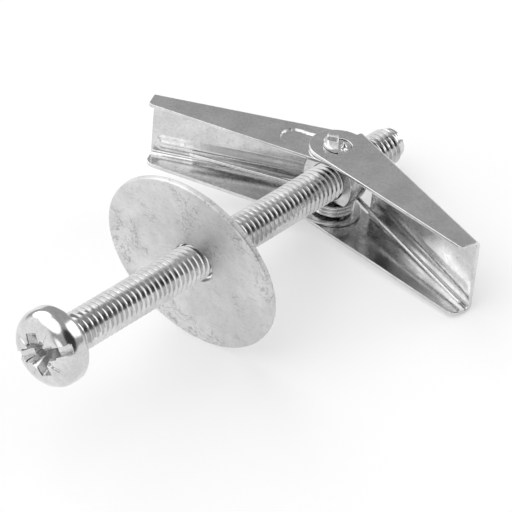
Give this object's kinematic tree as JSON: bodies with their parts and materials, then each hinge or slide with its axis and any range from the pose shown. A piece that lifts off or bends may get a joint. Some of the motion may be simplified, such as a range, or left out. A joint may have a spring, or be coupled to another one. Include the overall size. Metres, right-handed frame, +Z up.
{
  "type": "spring toggle bolt",
  "caption": "Machine screw with a dished washer and a trunnion nut that carries sprung folding sheet wings, for clamping things to hollow walls.",
  "frame": {"origin": "on the floor under the middle of the bolt as it lies, the bottom centre of its bounding box", "axes": "+Z up, +X along the screw's shadow on the floor toward its head, +Y toward the outer wing"},
  "size_m": [0.0788, 0.0607, 0.03],
  "materials": {
    "screw_zinc": "bright zinc plate",
    "washer_zinc": "satin zinc plate, faintly stained",
    "wing_zinc": "bright zinc plate",
    "nut_zinc": "bright zinc plate",
    "spring_wire": "drawn spring wire"
  },
  "bodies": {
    "nut": {"trunnion_nut": "nut_zinc", "torsion_spring": "spring_wire"},
    "screw": {"screw": "screw_zinc"},
    "washer": {"washer": "washer_zinc"},
    "wing_left": {"wing_left": "wing_zinc"},
    "wing_right": {"wing_right": "wing_zinc"}
  },
  "joints": [
    {"name": "screw_turn", "type": "hinge", "parent": "nut", "child": "screw", "pos_m": [-0.02495, -0.00034, 0.00771], "axis": [0.9761, 0, 0.2173], "continuous": true},
    {"name": "washer_slide", "type": "slide", "parent": "nut", "child": "washer", "axis": [0.9761, 0, 0.2173], "range_m": [0, 0.0257]},
    {"name": "wing_right_fold", "type": "hinge", "parent": "nut", "child": "wing_right", "pos_m": [-0.02495, -0.00034, 0.00771], "axis": [0.2166, -0.0792, -0.973], "range_deg": [0, 70], "stiffness_Nm_per_rad": 0.006, "springref_deg": -34.38, "deforming": ["torsion_spring"]},
    {"name": "wing_left_fold", "type": "hinge", "parent": "nut", "child": "wing_left", "pos_m": [-0.02495, -0.00034, 0.00771], "axis": [-0.2166, 0.0792, 0.973], "range_deg": [0, 63], "stiffness_Nm_per_rad": 0.006, "springref_deg": -34.38, "deforming": ["torsion_spring"]}
  ]
}
